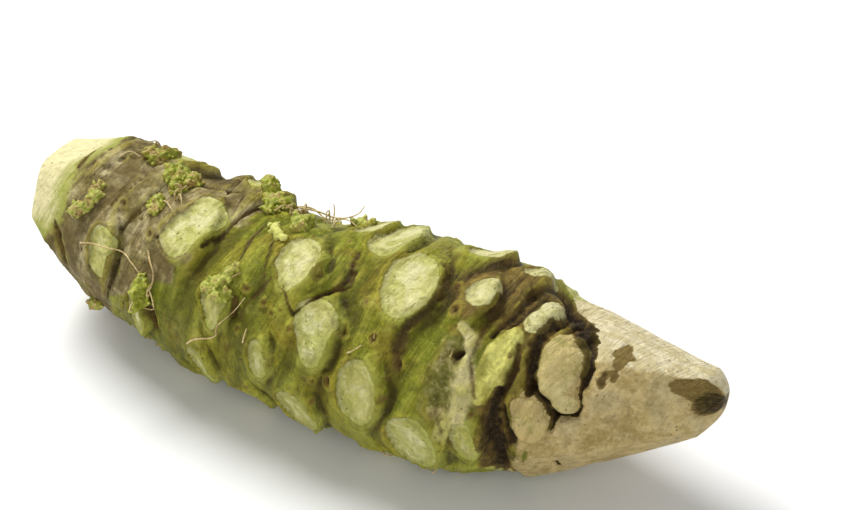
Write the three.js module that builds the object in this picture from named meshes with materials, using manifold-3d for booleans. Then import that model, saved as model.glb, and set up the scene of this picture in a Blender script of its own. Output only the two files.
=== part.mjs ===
// A wasabi root: one knobbly rhizome, marked by the scars of its cut leaves and pared with a knife at both
// ends, and the small side buds that grew in its old leaf axils. It lies on its belly along X, with the
// long pared cone of the crown end to +X and the blunt cut of the foot to -X. Millimetres, +Z up.

import * as THREE from "three";
import { mergeVertices } from "three/addons/utils/BufferGeometryUtils.js";
import Module from "manifold-3d";

const wasm = await Module();
wasm.setup();

// Driving dimensions.
const LENGTH = 150;
const AXIS_HEIGHT = 20.2; // the centre line above the table, at mid length
const AXIS_SLOPE = 0.025; // it climbs a little from the thin foot side to the thick belly
const END_LIFT = 4.0; // how far both ends curl up off the table
const SIDE_BOW = 9.5; // how far both ends bend back, towards +Y
const BELLY_X = 12; // where the bend is furthest forward
const BOW_SHIFT = 2.2; // sets the root's box in the middle, front to back
const CUSHION = 2.0; // height of a leaf base above the skin
const BUD_GAP = 0.35; // clearance between a bud and the rhizome
const FACES_ROUND = 60;
const FACES_ALONG = 50;

// Radius of the unpared skin at places along the root: [x, radius].
const SKIN_OUTLINE = [
  [-75, 16.4],
  [-66, 16.9],
  [-52, 17.6],
  [-36, 18.9],
  [-14, 19.5],
  [8, 20.4],
  [20, 21.0],
  [31, 20.3],
  [41, 18.5],
  [52, 16.9],
  [75, 13.4],
];

// Knife strokes that pare the ends: [angle faced, radius at the inner place, radius at the end].
const FOOT_STROKES = { inner: -60, end: -75, cuts: [
  [100, 17.9, 8.2],
  [142, 18.0, 8.5],
  [28, 18.9, 12.8],
  [-42, 19.2, 12.0],
  [-110, 18.6, 10.4],
  [-165, 18.2, 9.9],
] };
const CROWN_STROKES = { inner: 45, end: 75, cuts: [
  [114, 15.2, 5.4],
  [88, 16.1, 5.7],
  [44, 17.8, 5.0],
  [8, 19.0, 5.2],
  [-34, 19.2, 6.0],
  [-74, 18.6, 5.8],
  [-115, 18.0, 5.2],
  [-160, 17.0, 4.9],
  [155, 16.4, 5.0],
] };
const EDGE_SHARPNESS = 2.0; // of the edges between strokes: their rounding is about half its inverse
const TIP_BLUNTNESS = 2.9; // how far the tip's rounding spreads in its first millimetre
const TIP_FLARE = 0.06; // how fast the rounding gives way to the knife strokes further in

// Leaf scars that face the front and the top:
// [x, angle, length along the root, width round it, lean of its long way in degrees].
// Angles are measured round the axis: 0 faces -Y, 90 faces up, 180 faces +Y.
const FRONT_SCARS = [
  [-52.4, 26, 6, 10.5, 0],
  [-47, 128, 12, 14, 0],
  [-41.8, 1, 4.5, 10, 0],
  [-33.5, 67, 9, 13, 20],
  [-27, 130, 9, 13, 0],
  [-25.9, -21, 5.5, 11, -20],
  [-22.8, 26, 5, 7.5, -10],
  [-11.4, 9, 5, 8.3, 0],
  [-8.2, 67, 9.5, 11.4, 0],
  [-2.9, -23, 8.5, 13, -15],
  [-0.3, 34, 8.5, 13.3, 5],
  [1.0, 117, 7, 12, 35],
  [7.5, 107, 7.5, 13.5, 35],
  [11.3, 11, 9.5, 13, 0],
  [15.3, 73, 11, 14.5, 5],
  [16, 139, 8, 10, 0],
  [22.6, -14, 11, 14, 0],
  [24.4, 119, 9, 8.5, -20],
  [28.5, 80, 6, 7.6, 0],
  [32.6, -7, 5.6, 9.5, 0],
  [34.9, 119, 5.2, 8, 30],
  [35.4, -44, 7.5, 7, -20],
  [36.6, 45, 7.4, 10, 0],
  [40.2, 86, 4.5, 11, 20],
];

// The scars out of sight at the back and under the belly follow the leaves' growth spiral.
const SPIRAL = { first: -58, last: 44, pitch: 2.3, turn: 137.5, from: 138, to: 322, length: 9, width: 11 };

const radians = THREE.MathUtils.degToRad;
const smooth = (value, low, high) => THREE.MathUtils.smoothstep(value, low, high);
const turned = (angle) => ((angle + 540) % 360) - 180; // an angle brought to -180..180

function spiralScars() {
  const scars = [];
  for (let x = SPIRAL.first, leaf = 0; x < SPIRAL.last; x += SPIRAL.pitch, leaf += 1) {
    const angle = (leaf * SPIRAL.turn) % 360;
    if (angle > SPIRAL.from && angle < SPIRAL.to) {
      scars.push([x, angle, SPIRAL.length, SPIRAL.width, 0]);
    }
  }
  return scars;
}

const LEAF_SCARS = [...FRONT_SCARS, ...spiralScars()];

// The skin's radius at any place, read off a smooth curve through the outline's points.
const outline = new THREE.SplineCurve(SKIN_OUTLINE.map(([x, radius]) => new THREE.Vector2(x, radius)));
const outlinePoints = outline.getPoints(400);

function skinOutline(x) {
  const next = outlinePoints.findIndex((point) => point.x >= x);
  if (next <= 0) {
    return outlinePoints[next === 0 ? 0 : outlinePoints.length - 1].y;
  }
  const [before, after] = [outlinePoints[next - 1], outlinePoints[next]];
  return THREE.MathUtils.mapLinear(x, before.x, after.x, before.y, after.y);
}

// Where a point of the skin lies in a scar's own oval: 1 is the oval's edge, along it and across it.
function inScar([scarX, scarAngle, length, width, lean], x, angle) {
  const along = x - scarX;
  const round = radians(turned(angle - scarAngle)) * skinOutline(scarX);
  const tilt = radians(lean);
  return {
    u: (along * Math.cos(tilt) - round * Math.sin(tilt)) / (length / 2),
    v: (along * Math.sin(tilt) + round * Math.cos(tilt)) / (width / 2),
  };
}

// Each leaf base swells slowly from the foot side and drops away just past its scar.
function leafBases(x, angle) {
  let height = 0;
  for (const scar of LEAF_SCARS) {
    const { u, v } = inScar(scar, x, angle);
    const rise = smooth(u, -2.6, -0.4);
    const drop = 1 - smooth(u + 0.25 * v * v, 1.0, 1.7);
    height = Math.max(height, CUSHION * rise * drop * Math.exp(-0.35 * v * v));
  }
  return height;
}

// A cut scar is flat, so inside its oval the surface stays under one plane.
function cutFlat(radius, x, angle) {
  let cut = radius;
  for (const scar of LEAF_SCARS) {
    const { u, v } = inScar(scar, x, angle);
    if (u * u + v * v < 1.2) {
      const plane = skinOutline(scar[0]) + 0.55 * CUSHION;
      cut = Math.min(cut, plane / Math.cos(radians(turned(angle - scar[1]))));
    }
  }
  return cut;
}

// What the knife strokes leave: the one nearest the axis on each side, with rounded edges between them.
function pared({ inner, end, cuts }, x, angle) {
  let nearness = 0;
  for (const [facing, innerRadius, endRadius] of cuts) {
    const away = Math.cos(radians(turned(angle - facing)));
    if (away > 0.2) {
      const plane = THREE.MathUtils.mapLinear(x, inner, end, innerRadius, endRadius) / away;
      nearness += Math.exp(-EDGE_SHARPNESS * plane);
    }
  }
  return -Math.log(nearness) / EDGE_SHARPNESS;
}

const bend = (x) => (x - BELLY_X) / (LENGTH / 2);
const axisY = (x) => SIDE_BOW * bend(x) ** 2 - BOW_SHIFT;
const axisZ = (x) => AXIS_HEIGHT + AXIS_SLOPE * x + END_LIFT * bend(x) ** 4;

function surfaceRadius(x, angle) {
  let radius = skinOutline(x) + leafBases(x, angle);
  radius = cutFlat(radius, x, angle);
  radius = Math.min(radius, pared(FOOT_STROKES, x, angle), pared(CROWN_STROKES, x, angle));
  const fromTip = Math.max(LENGTH / 2 - x, 0);
  return Math.min(radius, 1 + TIP_BLUNTNESS * Math.sqrt(fromTip) + TIP_FLARE * fromTip ** 2);
}

// A point at a distance above the surface. None lies under the table, which makes the belly flat.
function surfacePoint(x, angle, above = 0) {
  const radius = surfaceRadius(x, angle) + above;
  return new THREE.Vector3(
    x,
    axisY(x) - radius * Math.cos(radians(angle)),
    Math.max(axisZ(x) + radius * Math.sin(radians(angle)), -above),
  );
}

// The rhizome is a turned blank, with every point then moved to the real surface.
function rhizomeGeometry(above = 0) {
  const half = LENGTH / 2;
  const blank = [new THREE.Vector2(0, -half)];
  for (let row = 0; row <= FACES_ALONG; row += 1) {
    blank.push(new THREE.Vector2(1, -half + (row * LENGTH) / FACES_ALONG));
  }
  blank.push(new THREE.Vector2(0, half));
  const geometry = new THREE.LatheGeometry(blank, FACES_ROUND);
  const place = geometry.attributes.position;
  for (let i = 0; i < place.count; i += 1) {
    const x = place.getY(i);
    const fromAxis = Math.hypot(place.getX(i), place.getZ(i));
    const end = above * Math.sign(x) * (Math.abs(x) > half - 0.01 ? 1 : 0);
    if (fromAxis < 0.5) {
      place.setXYZ(i, x + end, axisY(x), axisZ(x));
    } else {
      const angle = THREE.MathUtils.radToDeg(Math.atan2(place.getZ(i), place.getX(i)));
      const point = surfacePoint(x, angle, above);
      place.setXYZ(i, point.x + end, point.y, point.z);
    }
  }
  return geometry;
}

// A closed mesh as a solid, and a solid back as a mesh.
function solidOf(geometry) {
  const bare = geometry.clone();
  bare.deleteAttribute("normal");
  bare.deleteAttribute("uv");
  const merged = mergeVertices(bare, 1e-3);
  const mesh = new wasm.Mesh({
    numProp: 3,
    vertProperties: new Float32Array(merged.attributes.position.array),
    triVerts: new Uint32Array(merged.index.array),
  });
  return new wasm.Manifold(mesh);
}

function geometryOf(solid) {
  const mesh = solid.getMesh();
  const geometry = new THREE.BufferGeometry();
  geometry.setAttribute("position", new THREE.BufferAttribute(mesh.vertProperties, 3));
  geometry.setIndex(new THREE.BufferAttribute(mesh.triVerts, 1));
  geometry.computeVertexNormals();
  return geometry;
}

const skin = new THREE.MeshStandardMaterial({ color: 0x7e7a3a, roughness: 0.6, metalness: 0 });
const budGreen = new THREE.MeshStandardMaterial({ color: 0x8a9638, roughness: 0.65, metalness: 0 });
const budBrown = new THREE.MeshStandardMaterial({ color: 0x8c7a45, roughness: 0.7, metalness: 0 });

const root = new THREE.Group();

function addPiece(name, solid, material) {
  const piece = new THREE.Mesh(geometryOf(solid), material);
  piece.name = name;
  root.add(piece);
}

addPiece("rhizome", solidOf(rhizomeGeometry()), skin);

// Side buds: each is a clump of round knobs, cut off a little above the skin that it grows from.
// A knob is [distance along the root, degrees round it, height of its centre, radius].
const BUDS = [
  ["foot_bud", -58.8, 49, budGreen, [
    [-2.0, -10, 0.4, 1.7],
    [-0.6, -5, 0.3, 1.6],
    [0.6, 0, 0.2, 1.6],
    [1.4, 6, 0.2, 1.6],
    [1.0, 12, 0.1, 1.5],
  ]],
  ["ridge_bud", -50.2, 101, budGreen, [
    [0, 0, 0.3, 2.0],
    [-1.9, 3, 0.3, 1.8],
    [1.2, 5, 0.3, 1.8],
    [2.2, 9, 0.3, 1.7],
  ]],
  ["mossy_bud", -41.6, 92, budGreen, [
    [0, 0, 0.5, 2.4],
    [2.2, 4, 0.4, 2.1],
    [-2.2, 1, 0.4, 2.0],
    [0.8, -6, 0.2, 1.9],
    [-1.0, 6, 0.5, 2.0],
  ]],
  ["pale_bud", -43.7, 72, budGreen, [
    [0, 0, 0.2, 1.8],
    [0.9, -5, 0.1, 1.5],
  ]],
  ["axil_bud", -40.8, 18, budGreen, [
    [0, 0, 0.2, 1.7],
    [1.0, -7, 0.1, 1.5],
    [0.4, 6, 0.1, 1.4],
  ]],
  ["scar_bud", -21.5, 42, budBrown, [
    [0.6, -5, 0.3, 1.6],
    [0.3, 6, 0.4, 1.5],
    [-1.0, 1, 0.4, 1.6],
    [-2.6, -3, 0.4, 1.4],
    [1.1, 11, 0.4, 1.4],
  ]],
  ["green_bud", -21.6, 110, budGreen, [
    [0, 0, 0.8, 2.3],
    [2.2, 2, 0.6, 1.9],
    [-2.3, 4, 0.7, 1.9],
    [0.6, -8, 0.3, 1.6],
  ]],
  ["round_bud", -12.4, 93, budGreen, [
    [0, 0, 0.9, 2.3],
    [0.6, 5, 1.0, 1.7],
  ]],
  ["horn_bud", -17.4, 89, budGreen, [
    [0, 0, 0.2, 1.4],
    [0.9, -4, 0.3, 1.4],
    [2.3, -7.5, 0.3, 1.3],
    [4.1, -9.5, 0.3, 1.1],
  ]],
  ["far_bud", -4.6, 129, budGreen, [
    [0, 0, 0.1, 1.9],
    [2.0, -2, 0.1, 1.6],
  ]],
  ["low_bud", -57.5, -36, budGreen, [
    [0, 0, 0.3, 1.8],
    [1.3, 4, 0.1, 1.4],
  ]],
  ["back_bud", 15.5, 176, budGreen, [
    [0, 0, 0.6, 2.3],
    [2.0, 5, 0.4, 1.8],
    [-1.6, 4, 0.3, 1.8],
  ]],
  ["back_foot_bud", -34.0, 165, budBrown, [
    [0, 0, 0.4, 2.0],
    [1.4, -5, 0.3, 1.6],
  ]],
];

function knobSolid([along, round, height, radius], x, angle) {
  const knob = new THREE.SphereGeometry(radius, 8, 6);
  const centre = surfacePoint(x + along, angle + round, height);
  knob.translate(centre.x, centre.y, centre.z);
  return solidOf(knob);
}

const clearance = solidOf(rhizomeGeometry(BUD_GAP));

for (const [name, x, angle, material, knobs] of BUDS) {
  const clump = knobs.map((knob) => knobSolid(knob, x, angle)).reduce((all, knob) => all.add(knob));
  addPiece(name, clump.subtract(clearance), material);
}

export default root;
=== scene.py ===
import math
import random

import bpy
import numpy as np
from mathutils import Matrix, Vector, noise
from mathutils.bvhtree import BVHTree


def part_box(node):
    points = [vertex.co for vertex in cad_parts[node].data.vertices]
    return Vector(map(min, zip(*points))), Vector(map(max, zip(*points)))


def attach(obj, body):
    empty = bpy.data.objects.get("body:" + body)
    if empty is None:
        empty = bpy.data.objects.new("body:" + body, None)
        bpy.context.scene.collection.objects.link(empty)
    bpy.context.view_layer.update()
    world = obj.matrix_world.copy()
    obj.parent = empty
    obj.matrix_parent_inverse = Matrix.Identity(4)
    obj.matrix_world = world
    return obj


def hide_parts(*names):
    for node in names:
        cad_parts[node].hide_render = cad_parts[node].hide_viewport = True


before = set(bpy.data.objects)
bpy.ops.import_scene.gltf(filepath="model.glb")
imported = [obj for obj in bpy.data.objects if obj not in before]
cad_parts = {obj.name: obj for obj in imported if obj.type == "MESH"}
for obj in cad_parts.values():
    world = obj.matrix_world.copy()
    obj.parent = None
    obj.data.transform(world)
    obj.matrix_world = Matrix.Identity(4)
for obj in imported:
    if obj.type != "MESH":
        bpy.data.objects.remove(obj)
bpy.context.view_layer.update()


# ---------------------------------------------------------------- the view
# A long lens looks down on the root from the front, from a little towards the crown end. It aims at a
# place just behind the root.
view_azimuth = math.radians(25.2)
view_elevation = math.radians(38)
view_distance = 0.4196
view_target = Vector((0.0045, 0.0235, 0.022))

view_back = Vector((
    math.sin(view_azimuth) * math.cos(view_elevation),
    -math.cos(view_azimuth) * math.cos(view_elevation),
    math.sin(view_elevation),
))
camera_data = bpy.data.cameras.new("view")
camera_data.lens = 85
camera_data.sensor_width = 36
camera = bpy.data.objects.new("view", camera_data)
camera.location = view_target + view_back * view_distance
camera.rotation_euler = view_back.to_track_quat("Z", "Y").to_euler()
bpy.context.scene.collection.objects.link(camera)
bpy.context.scene.camera = camera


# ---------------------------------------------------------------- the rhizome
# One firm, knobbly rhizome. Every leaf left a swollen base with a flat cut scar on it, and a knife has
# pared both ends. It is a ball stretched to the root's length and then sculpted, in millimetres.
MM = 0.001
low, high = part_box("rhizome")
half_length = (high[0] - low[0]) / 2 / MM
axis_height = 20.2  # of the centre line above the table, at mid length
axis_slope = 0.025  # how it climbs towards the crown end
end_lift = 4.0  # how far both ends curl up
side_bow = 9.5  # how far both ends bend back
belly_x = 12  # where the bend is furthest forward
bow_shift = 2.2  # sets the root's box in the middle, front to back
cushion = 2.4  # height of a leaf base above the skin
faces_round = 300
faces_along = 330
foot_face_rings = 16
# Where some of the ball's rings come to lie along the root. They are closest together at the last leaves.
ring_marks = (0, foot_face_rings, 214, 302, 324, faces_along)
ring_places = (-75, -75, 28, 58, 73.5, 75)
skin_outline_x = (-75, -66, -52, -36, -14, 8, 20, 31, 41, 52, 75)
skin_outline_radius = (16.4, 16.9, 17.6, 18.9, 19.5, 20.4, 21.0, 20.2, 18.3, 16.8, 13.4)

# Angles go round the axis: 0 faces the front, 90 faces up, 180 faces the back.
# Knife strokes: angle faced, radius at the inner place, radius at the end, how brown the cut has gone,
# which on the crown's front and lower strokes is partly painted shade.
foot_strokes = {"inner": -60, "end": -75, "sharpness": 1.0, "cuts": (
    (100, 17.6, 8.5, 0), (142, 17.8, 8.8, 0), (62, 18.2, 12.6, 0), (28, 18.3, 12.8, 0), (-42, 19.2, 12.0, 0),
    (-110, 18.6, 10.4, 0), (-165, 18.2, 9.9, 0))}
crown_strokes = {"inner": 45, "end": 75, "sharpness": 2.0, "cuts": (
    (114, 15.2, 5.4, 0), (88, 16.1, 5.7, 0), (44, 17.6, 5.0, 0.9), (8, 18.4, 5.2, 1), (-34, 18.0, 5.6, 0.9),
    (-74, 17.8, 5.4, 0.7), (-115, 18.0, 5.2, 0.5), (-160, 17.0, 4.9, 0.4), (155, 16.4, 5.0, 0.2))}
# Leaf scars: place along, angle round, and reach in eight directions, first towards the crown, then
# turning upwards. The tone goes from green (0) to cream (1) and to flesh browned by air (2). The last three
# listed here are the hard plates between the cracks by the cone.
plate_tone = 1.5
leaf_scars = [
    (-52.4, 26, (2.5, 5, 5, 4, 3.5, 3.5, 5.5, 3), 0.3),
    (-41.8, 1, (1.5, 2, 5, 3.5, 2.5, 3, 5, 3), 0.1),
    (-33.5, 67, (5.0, 7.8, 7.0, 3.6, 4.6, 7.4, 7.0, 4.4), 0.6),
    (-22.8, 26, (2.6, 3.5, 3.2, 4.6, 2.2, 2.2, 3.4, 3), 0.3),
    (-25.9, -21, (3, 3, 5.5, 5.5, 2, 2, 5, 4.5), 0.1),
    (-11.4, 9, (2.5, 3, 4.3, 3, 2.5, 2.6, 4, 3.5), 0.15),
    (-47, 128, (6, 6.5, 7, 6.5, 6, 6, 7, 6), 0.05),
    (-27, 130, (4.5, 5.5, 6.5, 5, 4.5, 5, 6.5, 5), 0.1),
    (-8.2, 67, (4.5, 5.2, 6, 5.5, 5, 4.5, 5.4, 4.6), 0.65),
    (-2.9, -23, (4.5, 5, 6.5, 6, 4, 4, 6.5, 4.5), 0.15),
    (-0.3, 34, (4.2, 6.6, 6.5, 6, 4, 3.6, 6.8, 5), 0.45),
    (1.0, 117, (3.2, 6, 5, 3.5, 3.5, 6, 5, 3.5), 0.7),
    (7.5, 107, (4, 6, 6.5, 3.2, 3.4, 7, 7, 4.4), 0.6),
    (11.3, 11, (4.5, 5, 6.5, 5.5, 5, 5.5, 6.8, 5.5), 0.3),
    (15.3, 73, (5.5, 6, 7.2, 7, 5.5, 6, 7.2, 6), 0.6),
    (22.6, -14, (5.5, 6, 7, 6.5, 5.5, 6, 7, 5.5), 0.2),
    (24.4, 119, (4.5, 5, 4, 5.5, 4.5, 4, 4, 4.5), 1.0),
    (28.5, 80, (3, 4, 4, 3, 3, 3, 3.6, 3.8), 0.95),
    (32.6, -7, (2.6, 3, 5, 3.5, 3, 3, 4.5, 4), 0.1),
    (34.9, 119, (3, 4.5, 3.6, 2.2, 2.2, 3.6, 3.6, 2.5), 1.0),
    (40.2, 86, (2.8, 4.6, 6.2, 3.2, 2.2, 4.2, 6.4, 3.0), 1.0),
    (35.4, -44, (3, 3, 3.5, 4, 4.5, 4.5, 3.5, 3), 0.2),
    (47.4, 49, (3.8, 5, 9.0, 6.0, 4.4, 5.5, 6, 3.7), 1.7),
    (49.3, 24, (2.3, 2.3, 2.5, 2.3, 2.3, 2.3, 2.6, 2.3), 1.7),
    (43.8, 15, (3, 3.2, 3.8, 4.6, 3, 3.5, 5, 5), 2.0),
]
# Out of sight, at the back and under the belly, the scars follow the leaves' growth spiral.
growth_turn = 137.5
first_leaf_x = -58
leaf_step = 2.3
leaves_grown = 45
unseen_from = 138
unseen_to = 322
unseen_reach = (4.4, 5.4, 5.8, 5.2, 4, 4.4, 5.8, 5.2)
chance = random.Random(4)
for leaf in range(leaves_grown):
    spiral_angle = leaf * growth_turn % 360
    if unseen_from < spiral_angle < unseen_to:
        reach = [size * chance.uniform(0.82, 1.15) for size in unseen_reach]
        leaf_scars.append((first_leaf_x + leaf_step * leaf, spiral_angle, reach, chance.uniform(0.1, 0.7)))


def smooth(value, low_edge, high_edge):
    """A soft step from 0 at the low edge to 1 at the high edge."""
    part = np.clip((value - low_edge) / (high_edge - low_edge), 0, 1)
    return part * part * (3 - 2 * part)


def turned(degrees):
    """An angle brought to -180 to 180."""
    return (degrees + 180) % 360 - 180


# Swellings and dips of the whole body: place along, angle round, half length, half width, height.
swellings = (
    (-30, 131, 5.5, 9, 1.8), (-47, 130, 7, 8, 0.8), (6, 129, 9, 8, 1.1), (-8, 131, 6, 8, -2.8),
    (-40, 132, 5, 9, -1.6), (-21, 131, 4, 8, -0.8), (13, 131, 4, 8, 0.9), (29, 130, 3, 9, 0.9),
    (43, 124, 5, 9, -1.3), (-70, -8, 6, 14, -0.9), (-42, -48, 7, 12, -1.0), (-24, -50, 4, 10, -0.5),
    (-14, -48, 4, 9, -1.7), (15, -48, 4, 9, -1.0), (26, -48, 4, 9, 1.0), (37, -50, 4, 12, -1.2),
)

# The outline's corners are rounded by an average over the steps next to each.
outline_steps = np.linspace(-half_length, half_length, 301)
steps_beside = 12
steps_averaged = 2 * steps_beside + 1
outline_curve = np.interp(outline_steps, skin_outline_x, skin_outline_radius)
outline_curve = np.pad(outline_curve, steps_beside, mode="edge")
outline_curve = np.convolve(outline_curve, np.ones(steps_averaged) / steps_averaged, mode="valid")


def skin_outline(x):
    """The radius of the skin before it is sculpted."""
    return np.interp(x, outline_steps, outline_curve)


def axis_y(x):
    """How far back the centre line runs."""
    return side_bow * ((x - belly_x) / half_length) ** 2 - bow_shift


def axis_z(x):
    """How high the centre line runs."""
    return axis_height + axis_slope * x + end_lift * ((x - belly_x) / half_length) ** 4


def field(points, size, octaves=3):
    """Fractal noise between about -1 and 1, with lumps of the given size in the points' own unit."""
    return np.array([noise.fractal(Vector(p), 1.0, 2.0, octaves) for p in points / size])


def reach_towards(reach, direction):
    """How far an outline reaches in any direction, from its reach in eight directions."""
    turn = direction / (math.pi / 4) % 8
    first = turn.astype(int)
    part = turn - first
    a, b, c, d = (np.take(reach, (first + step) % 8) for step in (-1, 0, 1, 2))
    return b + part / 2 * (c - a + part * (2 * a - 5 * b + 4 * c - d + part * (3 * (b - c) + d - a)))


def within(reach, along, round_it):
    """How far inside an outline each point lies. It is below 0 outside."""
    return reach_towards(reach, np.arctan2(round_it, along)) - np.hypot(along, round_it)


def pared(strokes, x, angle):
    """The knife's surface at each place, its edges rounded, and how brown the flesh there has gone, a brown
    that is partly painted shade.
    """
    nearness = np.full(x.shape, 1e-30)
    brown = np.zeros(x.shape)
    for facing, inner_radius, end_radius, browning in strokes["cuts"]:
        away = np.cos(np.radians(turned(angle - facing)))
        part = (x - strokes["inner"]) / (strokes["end"] - strokes["inner"])
        plane = (inner_radius + (end_radius - inner_radius) * part) / np.maximum(away, 0.2)
        weight = np.where(away > 0.2, np.exp(-strokes["sharpness"] * plane), 0)
        nearness += weight
        brown += weight * browning
    return -np.log(nearness) / strokes["sharpness"], brown / nearness


def read_all(items, name, width, kind=float):
    """One property of all of a mesh's points or edges, a row for each."""
    flat = np.empty(len(items) * width, dtype=kind)
    items.foreach_get(name, flat)
    return flat.reshape(-1, width)


bpy.ops.object.select_all(action="DESELECT")
bpy.ops.mesh.primitive_uv_sphere_add(segments=faces_round, ring_count=faces_along, radius=1)
rhizome = bpy.context.object
rhizome.name = "wasabi_rhizome"
rhizome.data.name = "wasabi_rhizome"
count = len(rhizome.data.vertices)
ball = read_all(rhizome.data.vertices, "co", 3)

# The ball's rings become the flat foot face, then steps along the root, finest at the last leaves and
# finer on the front than on the back.
ring = np.rint((np.arcsin(np.clip(ball[:, 2], -1, 1)) / math.pi + 0.5) * faces_along)
angle = np.degrees(np.arctan2(ball[:, 0], ball[:, 1]))
angle = (angle - 20 * np.sin(np.radians(angle - 40)) + 180) % 360 - 180
x = np.interp(ring, ring_marks, ring_places)
radians = np.radians(angle)
outline = skin_outline(x)
spot = np.stack([x, -outline * np.cos(radians), outline * np.sin(radians)], axis=1)

lumps = field(spot, 26, 2)
wobble = field(spot, 5, 2)
grit = field(spot, 1.3, 3)


def around(place_x, place_angle):
    """Distances of every point from a place: along the root, and round it on the skin."""
    return x - place_x, np.radians(turned(angle - place_angle)) * outline


def beside(line):
    """Distance from a line through places (x, angle, half width), in half widths."""
    nearest = np.full(count, 1e3)
    for (x0, a0, width0), (x1, a1, width1) in zip(line, line[1:]):
        step_x, step_round = x1 - x0, math.radians(a1 - a0) * float(skin_outline(x0))
        from_x, from_round = around(x0, a0)
        part = np.clip((from_x * step_x + from_round * step_round) / (step_x ** 2 + step_round ** 2), 0, 1)
        away = np.hypot(from_x - part * step_x, from_round - part * step_round)
        nearest = np.minimum(nearest, away / (width0 + (width1 - width0) * part))
    return nearest


# Leaf bases swell from the foot side and drop away just past each scar, with a hollow under the drop.
base_height = np.zeros(count)
axil = np.zeros(count)
scar = np.full(count, -3.0)
tone = np.zeros(count)
dry = np.zeros(count)
scar_plane = np.full(count, 1e3)
grain_x = x - 6.2 * np.sin(radians - 0.9) + 0.8 * lumps
for scar_x, scar_angle, reach, scar_tone in leaf_scars:
    along, round_it = around(scar_x, scar_angle)
    is_plate = scar_tone > plate_tone
    nearby = np.abs(turned(angle - scar_angle)) < 75
    u = along / ((reach[0] + reach[4]) / 2)
    v = round_it / ((reach[2] + reach[6]) / 2)
    side = np.exp(-0.34 * v * v)
    crest = u + 0.55 * v * v / (1 + 0.35 * v * v) + 0.13 * wobble
    rise = smooth(u, -2.6, 1.0)
    if not is_plate:
        base_height = np.maximum(base_height, cushion * rise * (1 - smooth(crest, 1.02, 1.5)) * side)
        axil = np.maximum(axil, np.exp(-((crest - 1.52) / 0.22) ** 2) * np.exp(-0.9 * v * v))
    grain_x -= 0.55 * along * np.exp(-(u * u + v * v) / 2)
    inside = within(reach, along, round_it) + 0.42 * wobble + 0.22 * grit
    is_mine = (inside > scar) & nearby
    tone = np.where(is_mine & (inside > -0.8), scar_tone, tone)
    dry = np.where(is_mine, smooth(0.35 * v - u, 0.0, 0.7) * (scar_x < 34), dry)
    scar = np.where(is_mine, inside, scar)
    plane = float(skin_outline(scar_x)) + cushion * (0.46 + 0.44 * u)
    plane = plane / np.cos(np.radians(np.clip(turned(angle - scar_angle), -70, 70)))
    scar_plane = np.where(is_mine & (inside > -0.5), plane, scar_plane)

# Folds of skin run round the root, slightly aslant, and part round the scars. A crease lies between two.
grain = np.stack([grain_x, spot[:, 1], spot[:, 2]], axis=1)
folds = field(grain * (1, 0.16, 0.16), 4.6, 2)
wrinkles = field(grain * (1, 0.12, 0.12), 1.1, 2)
creases = np.exp(-(folds / 0.06) ** 2) * smooth(lumps + wobble, -0.5, 0.4)
loose = np.exp(-((x + 14) / 16) ** 2 - (turned(angle - 66) / 44) ** 2)

# Old bark covers the foot side. The last leaves before the crown stand in creased brown skin.
bark_edge = -34 + 12 * np.cos(np.radians(angle - 125)) - 7 * smooth(-np.sin(radians), -0.6, 0.2)
bark = 1 - smooth(x + 3 * wobble, bark_edge - 4, bark_edge + 4)
creased = smooth(within((15, 17, 14, 9, 9, 10, 6, 12), *around(32, 84)) + wobble, -1.5, 1.5)
creased_low = smooth(within((4, 6, 24, 6, 3.5, 5, 20, 5), *around(39.5, -4)) + wobble, -1.5, 1.5)
creased = np.maximum(creased, creased_low)
scuffed = within((4.2, 6, 10, 5, 4.5, 6, 9, 7), *around(27.8, 28)) + 0.5 * wobble

skin = outline + 0.6 * lumps + base_height - 0.35 * axil + 0.28 * wobble
fold_height = 0.5 + 0.6 * loose + 0.1 * bark
wrinkle_height = 0.08 + 0.16 * creased + 0.08 * bark
skin += fold_height * folds + wrinkle_height * wrinkles + 0.035 * grit
skin -= (0.38 + 0.7 * creased + 0.5 * bark) * creases
skin += 0.55 * smooth(scuffed, -1.2, 1.4) * (1 - smooth(scuffed, 2, 6))
# Round the last leaves before the knife's cone the skin has sunk and dried.
sunken = np.exp(-(turned(angle - 110) / 48) ** 2) * smooth(x, 34, 42) * (1 - smooth(x, 50, 53))
skin -= 2.3 * sunken
# On the front of the cone the knife has left flat plates between the cracks.
skin += 2.2 * smooth(x, 38.5, 42) * np.exp(-(turned(angle + 2) / 55) ** 2)
# Just before the cone, a dry crest and a swollen green ridge run round the front. Each is a line through
# places (x, angle, half width).
crest_route = ((28.0, 59, 0.9), (30.3, 53, 1.3), (31.2, 37, 1.8), (31.8, 21, 2.2), (31.4, 10, 2.2),
               (29.0, 0, 1.6))
bulge_route = ((37.4, 62, 2.2), (36.6, 52, 2.8), (35.6, 40, 3.0), (35.2, 30, 2.6), (34.6, 22, 1.6))
crest_line = np.exp(-(beside(crest_route) + 0.5 * wobble + 0.2 * grit) ** 2)
skin += 0.5 * crest_line
bulge = 1 - smooth(beside(bulge_route) + 0.25 * wobble, 0.5, 1.25)
skin += bulge

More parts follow.
